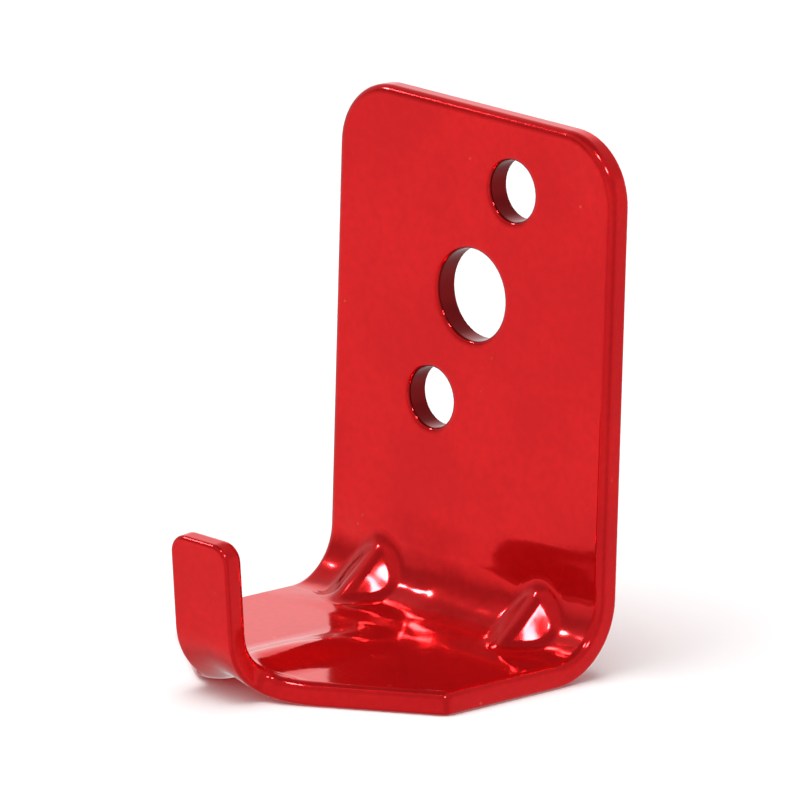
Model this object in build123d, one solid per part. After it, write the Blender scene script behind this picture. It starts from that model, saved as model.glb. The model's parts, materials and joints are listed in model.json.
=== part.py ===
from build123d import *
from math import atan2, cos, degrees, hypot, pi, radians, sin, tan
import os

# Wall hook for a fire extinguisher, pressed from one strip of steel plate.
# All sizes are in millimetres. X runs across the plate, -Y points away from the wall, Z is up.
# The origin is the centre of the large screw hole, on the wall plane.

# Sheet and back plate
sheet = 3.15                # steel plate with its enamel
plate_width = 50.8
top_above_hole = 25.0       # large hole to the top edge
shelf_below_hole = 46.4     # large hole to the underside of the shelf
plate_corner_radius = 9.0

# Screw holes, three on a slanting line
large_hole_d = 12.3
small_hole_d = 8.2
small_hole_dx = 6.95
small_hole_dz = 15.2
hole_roll_width = 0.9       # the punch rolls the rim of each hole over, wider than it is deep
hole_roll_depth = 0.6

# Shelf
heel_outer_radius = 10.3
shelf_side_reach = 30.5     # wall to the end of the straight sides
neck_past_bend = 3.2        # start of the lip's bend to the end of the slanting sides
neck_half_width = 8.0
notch_depth = 1.2           # neck corner to where the lip's straight edge begins
shelf_corner_round = 2.0
neck_notch_round = 2.0
neck_corner_round = 2.0

# Upturned lip
lip_width = 10.6
lip_bend_reach = 40.0       # wall to the start of the lip's bend
lip_outer_radius = 10.0
lip_lean = 6.0              # degrees out from the vertical
lip_height = 21.5           # underside of the shelf to the top of the lip
lip_corner_radius = 2.6

# Stiffening bead pressed up along the middle of the shelf and round the lip's bend
bead_half_width = 7.2
bead_height = 1.5
bead_start = 15.0           # wall to where the bead begins
bead_full = 34.0            # wall to where it has its full height
bead_shoulder = 0.42        # height half-way down its side, as a share of the crown
bead_fade = 1.2             # above 1, it keeps its height further round the lip's bend

# Two gussets pressed into the heel from behind
gusset_spacing = 29.8
gusset_offset = -0.4        # middle of the pair from the middle of the plate
gusset_rise = 10.1          # underside of the shelf to where the ridge meets the plate
gusset_reach = 11.2         # wall to where the ridge meets the shelf
gusset_ridge_radius = 3.0
gusset_flank = 31.0         # degrees
gusset_root_round = 3.5
dent_ridge_radius = 0.8     # the back of each gusset is a dent, crisper than its front

# Edges of the blank: the die rolls the front side over, the back side is crisper
front_edge_round = 1.2
back_edge_round = 0.6

# Working values: how far a cutter overshoots, how closely a place is found, what counts as a sharp edge
beyond = 5.0
near = 0.01
sharp_turn = 18.0           # degrees

os.makedirs("parts", exist_ok=True)

floor = -shelf_below_hole
half_width = plate_width / 2
heel_inner_radius = heel_outer_radius - sheet
lip_inner_radius = lip_outer_radius - sheet
lip_sweep = 90 - lip_lean
diagonal = sin(pi / 4)
neck_reach = lip_bend_reach + neck_past_bend

# Centres of the two bends in the side view
heel_y = -heel_outer_radius
heel_z = floor + heel_outer_radius
bend_y = -lip_bend_reach
bend_z = floor + lip_outer_radius


def heel_middle(radius):
    """The point of the heel's bend half-way between the plate and the shelf."""
    return (heel_y + radius * diagonal, heel_z - radius * diagonal)


def bend_point(radius, angle):
    """A point on the lip's bend, with the angle counted from straight down."""
    a = radians(angle)
    return (bend_y - radius * sin(a), bend_z - radius * cos(a))


def side_profile():
    """The folded strip seen from the side, as a face in the YZ plane."""
    out_start = bend_point(lip_outer_radius, 0)
    out_mid = bend_point(lip_outer_radius, lip_sweep / 2)
    out_end = bend_point(lip_outer_radius, lip_sweep)
    in_start = bend_point(lip_inner_radius, 0)
    in_mid = bend_point(lip_inner_radius, lip_sweep / 2)
    in_end = bend_point(lip_inner_radius, lip_sweep)
    rise = floor + lip_height - out_end[1]
    run = rise * tan(radians(lip_lean))
    out_tip = (out_end[0] - run, out_end[1] + rise)
    in_tip = (in_end[0] - run, in_end[1] + rise)
    with BuildSketch(Plane.YZ) as sk:
        with BuildLine():
            Line((0, top_above_hole), (0, heel_z))
            ThreePointArc((0, heel_z), heel_middle(heel_outer_radius), (heel_y, floor))
            Line((heel_y, floor), out_start)
            ThreePointArc(out_start, out_mid, out_end)
            Line(out_end, out_tip)
            Line(out_tip, in_tip)
            Line(in_tip, in_end)
            ThreePointArc(in_end, in_mid, in_start)
            Line(in_start, (heel_y, floor + sheet))
            ThreePointArc((heel_y, floor + sheet), heel_middle(heel_inner_radius), (-sheet, heel_z))
            Line((-sheet, heel_z), (-sheet, top_above_hole))
            Line((-sheet, top_above_hole), (0, top_above_hole))
        make_face()
    return sk.sketch


def bead_section(place, height, reach):
    """The sheet's section across the bead: a low ridge on top and its hollow below."""
    w = bead_half_width
    shoulder = bead_shoulder * height
    with BuildSketch(place) as sk:
        with BuildLine():
            if reach > w:
                Line((-w, 0), (-reach, 0))
                Line((-reach, 0), (-reach, sheet))
                Line((-reach, sheet), (-w, sheet))
                Line((w, sheet), (reach, sheet))
                Line((reach, sheet), (reach, 0))
                Line((reach, 0), (w, 0))
            else:
                Line((-w, 0), (-w, sheet))
                Line((w, sheet), (w, 0))
            Spline((-w, sheet), (-w / 2, sheet + shoulder), (0, sheet + height),
                   (w / 2, sheet + shoulder), (w, sheet), tangents=((1, 0), (1, 0)))
            Spline((w, 0), (w / 2, shoulder), (0, height),
                   (-w / 2, shoulder), (-w, 0), tangents=((-1, 0), (-1, 0)))
        make_face()
    return sk.sketch


def swell(share):
    """Rises softly from 0 to 1, level at both ends, as a pressed bead does."""
    return (1 - cos(pi * share)) / 2


def bead_on_shelf():
    """The beaded strip of the shelf, growing from flat to its full height."""
    steps = 4
    stations = [(bead_start + (bead_full - bead_start) * i / steps, swell(i / steps)) for i in range(steps + 1)]
    stations.append(((bead_full + lip_bend_reach) / 2, 1))
    stations.append((lip_bend_reach, 1))
    sections = []
    for reach, share in stations:
        place = Plane(origin=(0, -reach, floor), x_dir=(1, 0, 0), z_dir=(0, -1, 0))
        sections.append(bead_section(place, share * bead_height, bead_half_width))
    return loft(sections)


def lip_bend():
    """The lip's bend over the whole width of the strip, round which the bead runs out."""
    steps = 5
    sections = []
    for i in range(steps + 1):
        share = swell(1 - (i / steps) ** bead_fade)
        angle = lip_sweep * i / steps
        a = radians(angle)
        y, z = bend_point(lip_outer_radius, angle)
        place = Plane(origin=(0, y, z), x_dir=(1, 0, 0), z_dir=(0, -cos(a), sin(a)))
        sections.append(bead_section(place, share * bead_height, half_width + beyond))
    return loft(sections)


strip = extrude(side_profile(), amount=half_width + beyond, both=True)

# The lip's bend, and the middle of the shelf, are exchanged for their beaded forms
with BuildSketch(Plane.YZ) as sk:
    far = lip_outer_radius + beyond
    far_out = bend_point(far, lip_sweep)
    Polygon((bend_y, bend_z), far_out, (far_out[0], floor - beyond), (bend_y, floor - beyond), align=None)
strip -= extrude(sk.sketch, amount=half_width + 2 * beyond, both=True)
bead_length = lip_bend_reach - bead_start
strip -= Pos(0, -bead_start - bead_length / 2, floor) * Box(2 * bead_half_width, bead_length, 3 * sheet)
strip = strip + bead_on_shelf() + lip_bend()


def depth(point):
    """How far a point lies from the back side of the sheet: 0 there, one sheet at the front."""
    y, z = point.Y, point.Z
    if y > heel_y and z > heel_z:
        return -y
    if y > heel_y:
        return heel_outer_radius - hypot(y - heel_y, z - heel_z)
    if y > bend_y:
        return z - floor
    angle = degrees(atan2(bend_y - y, bend_z - z))
    if angle < lip_sweep:
        return lip_outer_radius - hypot(y - bend_y, z - bend_z)
    a = radians(lip_sweep)
    return lip_outer_radius - (bend_y - y) * sin(a) - (bend_z - z) * cos(a)


def is_sharp(edge, faces):
    """True where the two faces that meet along an edge don't run into each other smoothly."""
    middle = edge @ 0.5
    sides = [f for f in faces if any(edge.is_same(e) for e in f.edges())]
    if len(sides) != 2:
        return False
    return sides[0].normal_at(middle).dot(sides[1].normal_at(middle)) < cos(radians(sharp_turn))


def rim(solid, front):
    """The cut edges of the blank on its front or its back side."""
    faces = solid.faces()
    found = []
    for edge in solid.edges():
        ends = (depth(edge @ 0), depth(edge @ 1))
        if abs(ends[0] - ends[1]) > sheet / 2:
            continue
        if (depth(edge @ 0.5) > sheet / 2) == front and is_sharp(edge, faces):
            found.append(edge)
    return found


def corner_edges(solid):
    """The straight edges that run through the sheet from its back to its front."""
    return solid.edges().filter_by(lambda e: abs(abs(depth(e @ 0) - depth(e @ 1)) - sheet) < near)


# The outline of the blank in plan: straight sides, slanting sides, neck and lip
with BuildSketch(Plane.XY.offset(floor - beyond)) as sk:
    w, n, h = half_width, neck_half_width, lip_width / 2
    far_y = -lip_bend_reach - lip_outer_radius - 2 * beyond
    notch_y = -neck_reach - notch_depth
    Polygon((w, beyond), (w, -shelf_side_reach), (n, -neck_reach), (h, notch_y), (h, far_y),
            (-h, far_y), (-h, notch_y), (-n, -neck_reach), (-w, -shelf_side_reach), (-w, beyond),
            align=None)
    fillet(sk.vertices().filter_by(lambda v: abs(v.Y + shelf_side_reach) < near), shelf_corner_round)
    fillet(sk.vertices().filter_by(lambda v: abs(v.Y + neck_reach) < near), neck_corner_round)
    fillet(sk.vertices().filter_by(lambda v: abs(v.Y - notch_y) < near), neck_notch_round)
hook = strip & extrude(sk.sketch, amount=shelf_below_hole + top_above_hole + 2 * beyond)

# Round corners of the plate and of the lip, then the rolled edges of the blank
plate_corners = corner_edges(hook).filter_by(lambda e: abs((e @ 0).Z - top_above_hole) < near)
hook = fillet(plate_corners, plate_corner_radius)
lip_corners = corner_edges(hook).filter_by(lambda e: (e @ 0.5).Y < bend_y).sort_by(Axis.Z)[-2:]
hook = fillet(lip_corners, lip_corner_radius)
hook = fillet(rim(hook, True), front_edge_round)
hook = fillet(rim(hook, False), back_edge_round)


def screw_hole(radius):
    """The tool that punches a hole through the plate from the front, with its rolled rim."""
    with BuildSketch(Plane.XY) as sk:
        with BuildLine():
            Line((0, beyond), (radius, beyond))
            Line((radius, beyond), (radius, hole_roll_depth - sheet))
            Bezier((radius, hole_roll_depth - sheet), (radius, -sheet), (radius + hole_roll_width, -sheet))
            Line((radius + hole_roll_width, -sheet), (radius + hole_roll_width, -beyond))
            Line((radius + hole_roll_width, -beyond), (0, -beyond))
            Line((0, -beyond), (0, beyond))
        make_face()
    return revolve(sk.sketch, Axis.Y)


# Screw holes on a slanting line, punched from the front
hole_places = [(0, 0, large_hole_d), (small_hole_dx, small_hole_dz, small_hole_d),
               (-small_hole_dx, -small_hole_dz, small_hole_d)]
for x, z, diameter in hole_places:
    hook -= Pos(x, 0, z) * screw_hole(diameter / 2)


def ridge_bar(x, drop, ridge_radius):
    """A bar of rounded V section along the gusset's slant; its ridge lies drop below the gusset's."""
    run_y = gusset_reach - sheet
    run_z = gusset_rise - sheet
    half_length = hypot(run_y, run_z) / 2 + sheet
    deep = gusset_rise * gusset_reach / hypot(gusset_rise, gusset_reach)
    flank = radians(gusset_flank)
    turn = ridge_radius * sin(flank)
    fall = ridge_radius * (1 - cos(flank))
    side = turn + (deep - fall) / tan(flank)
    slant = Plane(origin=(x, -(gusset_reach + sheet) / 2, floor + (gusset_rise + sheet) / 2),
                  x_dir=(1, 0, 0), z_dir=(0, -run_y, -run_z))
    slant.origin -= slant.y_dir * drop
    with BuildSketch(slant.offset(-half_length)) as sk:
        with BuildLine():
            Line((-side, -deep), (-turn, -fall))
            ThreePointArc((-turn, -fall), (0, 0), (turn, -fall))
            Line((turn, -fall), (side, -deep))
            Line((side, -deep), (-side, -deep))
        make_face()
    return extrude(sk.sketch, amount=2 * half_length)


# A gusset is added only from the middle of the sheet towards the open side of the heel
middle = sheet / 2
corner_y = heel_y - gusset_reach
corner_z = heel_z + gusset_rise
with BuildSketch(Plane.YZ) as sk:
    with BuildLine():
        Line((-middle, corner_z), (-middle, heel_z))
        ThreePointArc((-middle, heel_z), heel_middle(heel_outer_radius - middle), (heel_y, floor + middle))
        Line((heel_y, floor + middle), (corner_y, floor + middle))
        Line((corner_y, floor + middle), (corner_y, corner_z))
        Line((corner_y, corner_z), (-middle, corner_z))
    make_face()
inside = extrude(sk.sketch, amount=half_width, both=True)

gusset_places = (gusset_offset - gusset_spacing / 2, gusset_offset + gusset_spacing / 2)
for x in gusset_places:
    hook += ridge_bar(x, 0, gusset_ridge_radius) & inside


def at_root(edge):
    """True for an edge where a gusset meets the front of the sheet."""
    point = edge @ 0.5
    inward = -point.Y < gusset_reach + beyond and point.Z < floor + gusset_rise + beyond
    return inward and abs(depth(point) - sheet) < near and abs(point.X) < half_width - front_edge_round - near


faces = hook.faces()
roots = [edge for edge in hook.edges() if at_root(edge) and is_sharp(edge, faces)]
hook = fillet(roots, gusset_root_round)
for x in gusset_places:
    hook -= ridge_bar(x, sheet, dent_ridge_radius)
export_step(hook, "parts/hook_bracket.step")
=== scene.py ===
# %% [markdown]
# The fire extinguisher wall hook is one strip of steel plate: a back plate with three screw holes, a heel
# with two pressed gussets, a tapering shelf and a narrow upturned lip. The real one is blanked and
# punched, bent in a press tool, and then dipped in thick red enamel. It could be modelled here from a
# plane with bevels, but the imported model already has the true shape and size. So this scene loads it as it
# is, and adds what the eye needs: the enamel, the floor, the light and the camera.

# %% Load the frame
import json
import math

import bpy
from mathutils import Matrix, Vector


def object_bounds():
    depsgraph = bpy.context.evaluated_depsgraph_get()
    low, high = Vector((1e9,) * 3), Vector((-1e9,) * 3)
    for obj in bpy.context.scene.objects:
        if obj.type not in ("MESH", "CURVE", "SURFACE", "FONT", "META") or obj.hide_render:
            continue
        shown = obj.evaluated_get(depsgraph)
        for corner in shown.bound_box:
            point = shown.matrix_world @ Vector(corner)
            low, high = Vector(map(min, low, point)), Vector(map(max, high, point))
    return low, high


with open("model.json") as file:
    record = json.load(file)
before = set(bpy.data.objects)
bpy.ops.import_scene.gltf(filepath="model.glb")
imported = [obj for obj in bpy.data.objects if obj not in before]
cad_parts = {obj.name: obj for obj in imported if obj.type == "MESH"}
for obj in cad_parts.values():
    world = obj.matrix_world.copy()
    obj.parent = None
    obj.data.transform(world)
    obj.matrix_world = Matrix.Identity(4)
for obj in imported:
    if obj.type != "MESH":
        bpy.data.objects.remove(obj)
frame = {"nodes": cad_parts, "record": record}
cad_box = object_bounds()
hook = frame["nodes"]["hook_bracket"]
print("hook box in mm", [[round(1000 * value, 1) for value in corner] for corner in cad_box])

# %% [markdown]
# Blender works in metres and in linear light. Sizes are written in millimetres times MM, and colours as
# the hex values that a paint chart or a picture editor shows, which one function turns into linear ones. A
# material is a tree of nodes, and so is the light of the surroundings. Nodes could be placed by hand in
# the shader editor, but a script can be read, changed and run again, so a second function adds a node and
# links it to earlier ones.

# %% Units, colours and nodes
MM = 0.001


def linear(hex_colour):
    """The linear RGBA of an sRGB hex colour."""
    values = [int(hex_colour[i:i + 2], 16) / 255 for i in (1, 3, 5)]
    return [v / 12.92 if v <= 0.04045 else ((v + 0.055) / 1.055) ** 2.4 for v in values] + [1.0]


def add_node(tree, kind, links=None, values=None, **settings):
    """Adds a node with its settings, the values of its inputs, and links into them.

    A link comes from an output, or from a node, which stands for its first output.
    """
    node = tree.nodes.new(kind)
    for name, setting in settings.items():
        setattr(node, name, setting)
    for name, value in (values or {}).items():
        node.inputs[name].default_value = value
    for name, source in (links or {}).items():
        output = source.outputs[0] if isinstance(source, bpy.types.Node) else source
        tree.links.new(output, node.inputs[name])
    return node


print("mid grey in linear light", round(linear("#808080")[0], 3))

# %% [markdown]
# The camera stands to the right of the hook and a little above it, with a long lens, as for a catalogue
# picture. It could be turned by hand until the picture looks right. Two angles and a distance say the same
# in three numbers, and the roll is the small tilt of the picture. From so far away the plate's sides stay
# nearly parallel.

# %% Camera
AZIMUTH = math.radians(45.37)
ELEVATION = math.radians(14.63)
ROLL = math.radians(1.55)
DISTANCE = 1495 * MM
TARGET = Vector((-15.67, 0.0, -17.84)) * MM   # the spot in the middle of the picture
SENSOR_WIDTH = 36.0    # this and the focal length are in mm, as on a real camera
FOCAL_LENGTH = 510.66
CLIP_START = 0.05      # the nearest and the farthest that it sees, in metres
CLIP_END = 50.0


def towards(azimuth, elevation):
    """The direction to a place, both angles in radians, azimuth from straight in front to the right."""
    level = math.cos(elevation)
    return Vector((math.sin(azimuth) * level, -math.cos(azimuth) * level, math.sin(elevation)))


back = towards(AZIMUTH, ELEVATION)
level_right = Vector((math.cos(AZIMUTH), math.sin(AZIMUTH), 0.0))
level_up = back.cross(level_right)
right = level_right * math.cos(ROLL) + level_up * math.sin(ROLL)
up = level_up * math.cos(ROLL) - level_right * math.sin(ROLL)

camera_data = bpy.data.cameras.new("camera")
camera_data.sensor_width = SENSOR_WIDTH
camera_data.lens = FOCAL_LENGTH
camera_data.clip_start = CLIP_START
camera_data.clip_end = CLIP_END
camera = bpy.data.objects.new("camera", camera_data)
bpy.context.scene.collection.objects.link(camera)
place = Matrix((right, up, back)).transposed().to_4x4()
place.translation = TARGET + back * DISTANCE
camera.matrix_world = place
bpy.context.scene.camera = camera
print("camera at", [round(value, 3) for value in camera.matrix_world.translation])

# %% [markdown]
# The finish is dipped red enamel: translucent pigment over bright steel. Light goes through the red, comes
# back from the metal and is red by then, so what the hook mirrors looks red too, and only a lamp or a very
# low angle looks white. A plain red under a clear coat is the usual recipe for paint, but it mirrors
# everything in white. So this shader is mostly metallic, with a deep red. The dip leaves marks of several
# sizes, and the next cells make them one by one, from where a spot lies on the hook.

# %% Red enamel
# It gives the eye red mirror images of the hook in itself, hard white glints, and dark lines at the edges.
enamel = bpy.data.materials.new("dipped_red_enamel")
enamel.use_nodes = True
tree = enamel.node_tree
tree.nodes.clear()
spot = add_node(tree, "ShaderNodeTexCoord").outputs["Object"]
print("material", enamel.name)

# %% [markdown]
# A dipped coat has patches of thicker and thinner enamel, about as wide as a thumb, and a fine grain of
# pigment. An image of enamel could be laid over the hook, but noise has no seams and no edges. Noise has
# one wave in each unit of its scale, so its scale is one divided by the width of a wave in metres. The
# real grain is too fine to show in the picture, so it's drawn as coarse as it needs to show.

# %% Thick and thin enamel
PATCH_WIDTH = 16.0 * MM
PATCH_LOW = 0.35           # where the noise is below this the enamel is thin, and above the next it's thick
PATCH_HIGH = 0.65
GRAIN_WIDTH = 0.9 * MM     # several times the real one
GRAIN_LOW = 0.3
GRAIN_HIGH = 0.7
GRAIN_SHARE = 0.8          # how far the grain goes towards the darker red
THIN_RED = linear("#E81D20")
THICK_RED = linear("#DD1A1F")
DEEP_RED = linear("#D6181D")
UNDER = 6                  # the Mix node has sockets for each kind of value: these are for colours
OVER = 7
MIXED = 2

patch_noise = add_node(tree, "ShaderNodeTexNoise", {"Vector": spot},
                       {"Scale": 1 / PATCH_WIDTH, "Detail": 2.0})
patches = add_node(tree, "ShaderNodeMapRange", {"Value": patch_noise},
                   {"From Min": PATCH_LOW, "From Max": PATCH_HIGH}, interpolation_type="SMOOTHSTEP")
grain_noise = add_node(tree, "ShaderNodeTexNoise", {"Vector": spot},
                       {"Scale": 1 / GRAIN_WIDTH, "Detail": 2.0})
grain = add_node(tree, "ShaderNodeMapRange", {"Value": grain_noise},
                 {"From Min": GRAIN_LOW, "From Max": GRAIN_HIGH, "To Max": GRAIN_SHARE},
                 interpolation_type="SMOOTHSTEP")
base_red = add_node(tree, "ShaderNodeMix", {"Factor": patches}, {UNDER: THIN_RED, OVER: THICK_RED},
                    data_type="RGBA").outputs[MIXED]
grain_red = add_node(tree, "ShaderNodeMix", {"Factor": patches}, {UNDER: THICK_RED, OVER: DEEP_RED},
                     data_type="RGBA").outputs[MIXED]
colour = add_node(tree, "ShaderNodeMix", {"Factor": grain, UNDER: base_red, OVER: grain_red},
                  data_type="RGBA").outputs[MIXED]
print("patches and grain in mm", round(PATCH_WIDTH / MM, 1), round(GRAIN_WIDTH / MM, 1))

# %% [markdown]
# A few specks of dust fell on the wet enamel and stand up as tiny bumps. Each is also painted a light
# orange, which is a painted glint. They could be scattered as objects. A Voronoi pattern is lighter: it puts
# one point into each cell of its grid and measures how far a spot is from the nearest one, so a small
# distance makes a round dot.

# %% Dust, with painted glints
SPECK_SPACING = 5.0 * MM
SPECK_RADIUS = 0.3 * MM
SPECK_CORE = 0.4           # the share of the radius within which a speck is full
SPECK_HEIGHT = 0.03 * MM
# This light orange is a painted glint; the dust itself is the bump further down.
SPECK_GLINT_ORANGE = linear("#F25A38")

from_speck = add_node(tree, "ShaderNodeTexVoronoi", {"Vector": spot},
                      {"Scale": 1 / SPECK_SPACING}).outputs["Distance"]
speck_size = SPECK_RADIUS / SPECK_SPACING   # as the pattern measures it, with the spacing as its unit
speck_dust_and_glint = add_node(tree, "ShaderNodeMapRange", {"Value": from_speck},
                 {"From Min": SPECK_CORE * speck_size, "From Max": speck_size,
                  "To Min": 1.0, "To Max": 0.0}, interpolation_type="SMOOTHSTEP")
# Painted glint: the colour goes light orange where the dust stands.
colour = add_node(tree, "ShaderNodeMix", {"Factor": speck_dust_and_glint, UNDER: colour}, {OVER: SPECK_GLINT_ORANGE},
                  data_type="RGBA").outputs[MIXED]
print("specks in mm", round(2 * SPECK_RADIUS / MM, 1), "across")

# %% [markdown]
# In a punched hole the enamel runs thin over torn steel, and the hole's sides lie in shade. Both are painted
# here as one dark wine on the walls: partly the thin coat's own colour, partly painted shade. The walls
# could have faces and a material of their own. A mask by the distance from each hole's axis needs no cut in
# the mesh, and the imported record gives the axis and the radius of each hole.

# %% Hole walls, with painted shade
# Dark wine for the hole walls: painted shade, with a little of the thin coat's own darker colour.
HOLE_SHADE_RED = linear("#80050A")
HOLE_FADE = 0.25 * MM
ALONG_PLATE = (1, 0, 1)    # distances are measured to the right and up, and not in depth


def near(point, axes, full, gone):
    """One within a distance of a point, fading softly to zero at another. The axes that count have ones."""
    offset = add_node(tree, "ShaderNodeVectorMath", {0: spot}, {1: point}, operation="SUBTRACT")
    counted = add_node(tree, "ShaderNodeVectorMath", {0: offset}, {1: axes}, operation="MULTIPLY")
    distance = add_node(tree, "ShaderNodeVectorMath", {0: counted}, operation="LENGTH").outputs["Value"]
    return add_node(tree, "ShaderNodeMapRange", {"Value": distance},
                    {"From Min": full, "From Max": gone, "To Min": 1.0, "To Max": 0.0},
                    interpolation_type="SMOOTHSTEP")


holes = [mount for mount in frame["record"]["mounts"] if mount["kind"] == "bore"]
for hole in holes:
    radius = hole["dims"]["r_mm"] * MM
    wall_shade = near(hole["pos_m"], ALONG_PLATE, radius, radius + HOLE_FADE)
    # Painted shade: the walls of each hole are mixed towards the dark wine.
    colour = add_node(tree, "ShaderNodeMix", {"Factor": wall_shade, UNDER: colour}, {OVER: HOLE_SHADE_RED},
                      data_type="RGBA").outputs[MIXED]
print("holes", [hole["name"] for hole in holes])

# %% [markdown]
# Wet enamel runs before it dries. In the heel it sagged into low waves, which break the mirrored lamps
# into many glints, and a little gathered in the plate's upper right corner. Waves could be moved into the
# mesh, but that needs many more points. They are so low that tilting the shading is enough, which is what
# a bump does, and only near those two places. Noise gives their form.

# %% Sagged enamel
SHEET = 3.15 * MM          # the plate's thickness with its coat
SAG_WIDTH = 6.0 * MM
SAG_HEIGHT = 0.35 * MM
HEEL_FULL = 5.0 * MM       # full waves within this distance of the heel's inner corner
HEEL_GONE = 13.0 * MM      # and none beyond this one
ACROSS_HEEL = (0, 1, 1)
CORNER_INSET = 2.6 * MM    # from the plate's top and its right side
CORNER_FULL = 2.0 * MM
CORNER_GONE = 8.0 * MM

heel_corner = Vector((0.0, -SHEET, cad_box[0].z + SHEET))
plate_corner = Vector((cad_box[1].x - CORNER_INSET, 0.0, cad_box[1].z - CORNER_INSET))
in_heel = near(heel_corner, ACROSS_HEEL, HEEL_FULL, HEEL_GONE)
in_corner = near(plate_corner, ALONG_PLATE, CORNER_FULL, CORNER_GONE)
sagging = add_node(tree, "ShaderNodeMath", {0: in_heel, 1: in_corner}, operation="ADD")
sag_noise = add_node(tree, "ShaderNodeTexNoise", {"Vector": spot}, {"Scale": 1 / SAG_WIDTH, "Detail": 1.0})
sag = add_node(tree, "ShaderNodeMath", {0: sag_noise, 1: sagging}, operation="MULTIPLY")
print("sags in mm", round(SAG_WIDTH / MM, 1), "wide")

# %% [markdown]
# The gussets draw the sheet and its enamel between them into a slight bow, which bends the mirror images
# in the heel. A cosine along the hook's width, with its crest between the gussets, does that smoothly,
# where a parabola would also tilt the gussets at the sides.

# %% Bow between the gussets
BOW_CENTRE = -6.5 * MM
BOW_WIDTH = 44.0 * MM      # from one crest of the wave to the next
BOW_HEIGHT = 0.55 * MM

width_place = add_node(tree, "ShaderNodeSeparateXYZ", {0: spot}).outputs["X"]
aside = add_node(tree, "ShaderNodeMath", {0: width_place}, {1: BOW_CENTRE}, operation="SUBTRACT")
turn = add_node(tree, "ShaderNodeMath", {0: aside}, {1: 2 * math.pi / BOW_WIDTH}, operation="MULTIPLY")
wave = add_node(tree, "ShaderNodeMath", {0: turn}, operation="COSINE")
bow = add_node(tree, "ShaderNodeMath", {0: wave, 1: in_heel}, operation="MULTIPLY")
print("bow in mm", round(BOW_WIDTH / MM, 1), "wide")

# %% [markdown]
# Orange peel is the fine ripple that enamel dries with, a millimetre or so from crest to crest. Its height
# is a few thousandths of a millimetre, and it only makes the mirror images a little unsteady. The four
# marks that stand up, from the widest to the finest, are bumps in a row, so that each tilts what the one
# before it left.

# %% Orange peel and relief
PEEL_WIDTH = 1.3 * MM
PEEL_HEIGHT = 0.004 * MM

peel = add_node(tree, "ShaderNodeTexNoise", {"Vector": spot}, {"Scale": 1 / PEEL_WIDTH, "Detail": 1.0})
relief = None
for height, size in ((bow, BOW_HEIGHT), (sag, SAG_HEIGHT), (peel, PEEL_HEIGHT), (speck_dust_and_glint, SPECK_HEIGHT)):
    links = {"Height": height}
    if relief is not None:
        links["Normal"] = relief
    relief = add_node(tree, "ShaderNodeBump", links, {"Distance": size, "Strength": 1.0})
print("peel in mm", round(PEEL_WIDTH / MM, 1), "wide")

# %% [markdown]
# Enamel is a glass, so its IOR is 1.5. It's glossy, with a roughness of a tenth or less, and thick enamel
# dries a little smoother than thin. The metallic value is that of bright steel, one, turned down a little
# for what the pigment scatters by itself. A second clear layer could go on top, but the hook looks right
# without it.

# %% Gloss
THIN_ROUGHNESS = 0.1
THICK_ROUGHNESS = 0.075
STEEL_SHARE = 0.8
ENAMEL_IOR = 1.5

gloss = add_node(tree, "ShaderNodeMapRange", {"Value": patches},
                 {"To Min": THIN_ROUGHNESS, "To Max": THICK_ROUGHNESS}, interpolation_type="SMOOTHSTEP")
shader = add_node(tree, "ShaderNodeBsdfPrincipled",
                  {"Base Color": colour, "Roughness": gloss, "Normal": relief},
                  {"Metallic": STEEL_SHARE, "IOR": ENAMEL_IOR})
add_node(tree, "ShaderNodeOutputMaterial", {"Surface": shader})
hook.data.materials.clear()
hook.data.materials.append(enamel)
print("enamel nodes", len(tree.nodes))

# %% [markdown]
# The hook stands on a sheet of matt white paper, far larger than the picture, so no edge of it shows. A
# curved sweep is the studio's way, but a flat sheet is enough when the light behind it is as white. The
# enamel doesn't mirror the sheet itself but the lower half of the light tent, which comes next.

# %% Floor
FLOOR_SIDE = 12.0   # in metres

bpy.ops.mesh.primitive_plane_add(size=FLOOR_SIDE, location=(0.0, 0.0, cad_box[0].z))
floor = bpy.context.object
floor.name = "floor"
# Matt paper gives the eye an even white with a soft shadow, and no mirror image.
paper = bpy.data.materials.new("matt_white_paper")
paper.use_nodes = True
paper_shader = paper.node_tree.nodes["Principled BSDF"]
paper_shader.inputs["Base Color"].default_value = linear("#F8F8F8")
paper_shader.inputs["Roughness"].default_value = 1.0
paper_shader.inputs["Specular IOR Level"].default_value = 0.0
floor.data.materials.append(paper)
floor.visible_glossy = False
print("floor at", round(cad_box[0].z / MM, 1), "mm")

# %% [markdown]
# Glossy things are lit by what they mirror, so the hook stands in a light tent whose cloth isn't equally
# bright all round. A picture of a studio could light it. Soft round lobes of more or less light, each in a
# direction of its own, are easier to steer: what mirrors a lobe gets brighter or darker with it, and the
# rest of the hook hardly changes.

# %% Light tent
TENT_LEVEL = 0.64
# For each: what mirrors it, its direction to the right, back and up, the cosines of the angles from that
# direction at which it begins and is full, and what it adds to the level.
TENT_LOBES = (
    ("far side of the shelf", (-0.5, 0.86, 0.1), 0.75, 0.93, 0.65),
    ("plate and front of the lip", (-0.65, -0.65, -0.39), 0.75, 0.97, 0.42),
    ("right side of the plate and shelf", (0.69, 0.68, -0.25), 0.7, 0.95, 0.26),
    ("slanting edge of the shelf", (0.44, -0.87, -0.25), 0.8, 0.97, 0.2),
    ("shelf, as the plate mirrors it", (-0.69, -0.68, 0.25), 0.89, 0.98, -0.25),
    ("rounded edges and bends", (-0.2, 0.0, 0.98), 0.8, 0.97, -0.35),
)

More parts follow.
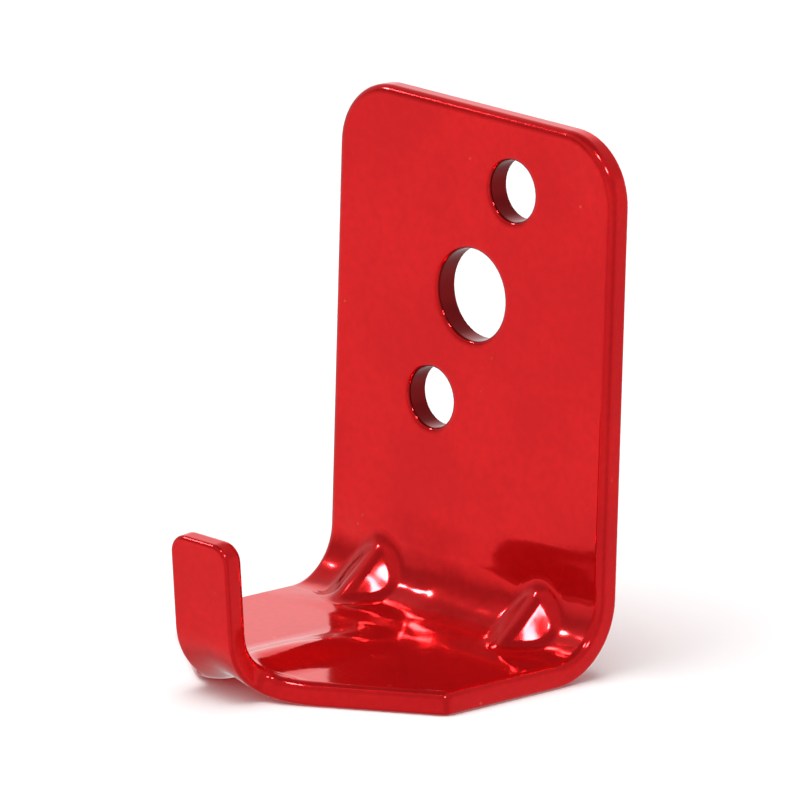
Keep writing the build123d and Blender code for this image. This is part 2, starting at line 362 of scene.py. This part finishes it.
world = bpy.data.worlds.new("light_tent")
bpy.context.scene.world = world
world.use_nodes = True
tent = world.node_tree
tent.nodes.clear()
looking = add_node(tent, "ShaderNodeTexCoord").outputs["Generated"]
total = None
for part, direction, begin, full, gain in TENT_LOBES:
    facing = add_node(tent, "ShaderNodeVectorMath", {0: looking}, {1: Vector(direction).normalized()},
                      operation="DOT_PRODUCT").outputs["Value"]
    lobe = add_node(tent, "ShaderNodeMapRange", {"Value": facing},
                    {"From Min": begin, "From Max": full, "To Max": gain}, interpolation_type="SMOOTHSTEP")
    links = {0: lobe}
    if total is not None:
        links[1] = total
    total = add_node(tent, "ShaderNodeMath", links, {1: TENT_LEVEL}, operation="ADD")
    print("tent", gain, "for the", part)
cloth = add_node(tent, "ShaderNodeBackground", {"Strength": total})
add_node(tent, "ShaderNodeOutputWorld", {"Surface": cloth})

# %% [markdown]
# Three small strong lamps give the hard white glints in the heel, in the bends and on the corners. They
# are only mirrored, so they throw no hard shadows. Two large panels do the opposite: they light the paper
# evenly, and the enamel doesn't mirror them. One lamp for both would be closer to a real studio, but here
# the glints and the shadows can be set apart from each other.

# %% Lamps and panels
HEEL = Vector((-5.0, -6.0, -40.0)) * MM    # all of them face this spot between the gussets
LAMP_BRIGHTNESS = 65.0                     # one is the brightness of white paper in the picture
# For each: its azimuth and elevation in degrees, its distance, width and height in mm, its brightness, and
# whether the enamel mirrors it.
LIGHTS = (
    ("left_lamp", -66, 40, 600, 60, 60, LAMP_BRIGHTNESS, True),
    ("right_lamp", 69, 44, 1600, 200, 200, LAMP_BRIGHTNESS, True),
    ("top_lamp", 32, 64.5, 1600, 190, 170, LAMP_BRIGHTNESS, True),
    ("front_panel", -15, 30, 1800, 1600, 1600, 0.9, False),
    ("top_panel", -30, 80, 1800, 1600, 1600, 3.6, False),
)

for name, azimuth, elevation, distance, width, height, brightness, mirrored in LIGHTS:
    outward = towards(math.radians(azimuth), math.radians(elevation))
    light_data = bpy.data.lights.new(name, "AREA")
    light_data.shape = "RECTANGLE"
    light_data.size = width * MM
    light_data.size_y = height * MM
    light_data.energy = brightness * math.pi * light_data.size * light_data.size_y
    light = bpy.data.objects.new(name, light_data)
    bpy.context.scene.collection.objects.link(light)
    light.location = HEEL + outward * distance * MM
    light.rotation_mode = "QUATERNION"
    light.rotation_quaternion = outward.to_track_quat("Z", "Y")
    light.visible_camera = False
    light.visible_glossy = mirrored
    light.visible_diffuse = not mirrored
    print(name, "with", round(light_data.energy, 2), "watts")

# %% [markdown]
# Blender can bend its colours as film does, which greys white paper. The standard view leaves them as they
# are.

# %% View
bpy.context.scene.view_settings.view_transform = "Standard"
